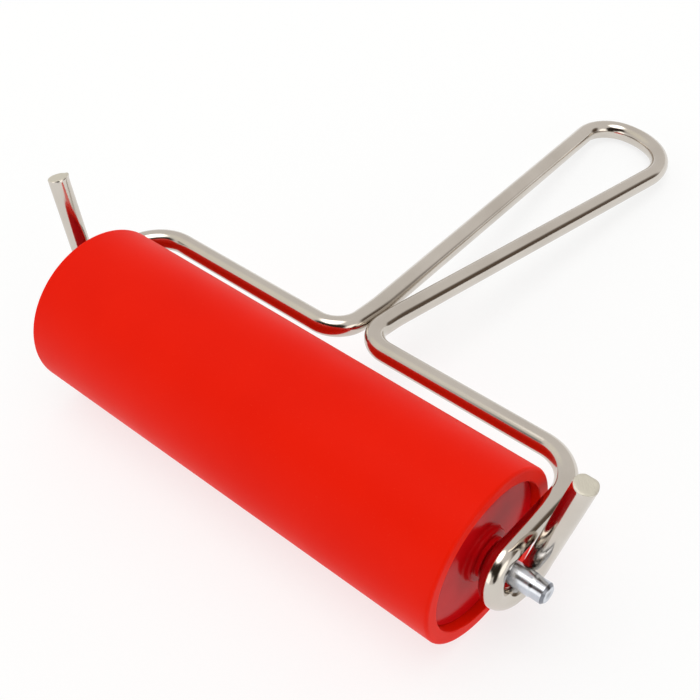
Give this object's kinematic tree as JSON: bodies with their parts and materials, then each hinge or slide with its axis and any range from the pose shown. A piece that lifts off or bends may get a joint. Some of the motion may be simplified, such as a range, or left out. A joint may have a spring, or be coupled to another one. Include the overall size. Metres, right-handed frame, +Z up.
{
  "type": "brayer",
  "caption": "Hand roller for printing ink: a rubber roller and its axle turn in the eyes of a bent wire frame with a loop handle and two rest legs.",
  "frame": {"origin": "on the table under the middle of the whole tool, as it stands on its roller and the end of its handle", "axes": "+X along the axle to the tool's right side, +Y from the roller to the end of the handle, +Z up"},
  "size_m": [0.1954, 0.2234, 0.0601],
  "materials": {
    "plated_wire": "bright nickel-plated steel, drawn and bent",
    "zinc_axle": "bright zinc-plated rod with turned ends",
    "red_rubber": "smooth satin, ground",
    "core": "rigid tube, out of sight",
    "red_hub": "glossy moulded",
    "washer": "thin translucent moulded ring"
  },
  "bodies": {
    "frame": {"wire_frame": "plated_wire"},
    "roller": {"rubber_sleeve": "red_rubber", "core_tube": "core", "hub_left": "red_hub", "hub_right": "red_hub", "axle": "zinc_axle", "washer_left": "washer", "washer_right": "washer"}
  },
  "joints": [
    {"name": "roller_spin", "type": "hinge", "parent": "frame", "child": "roller", "pos_m": [0.0012, -0.08621, 0.0255], "axis": [1, 0, 0], "continuous": true}
  ]
}
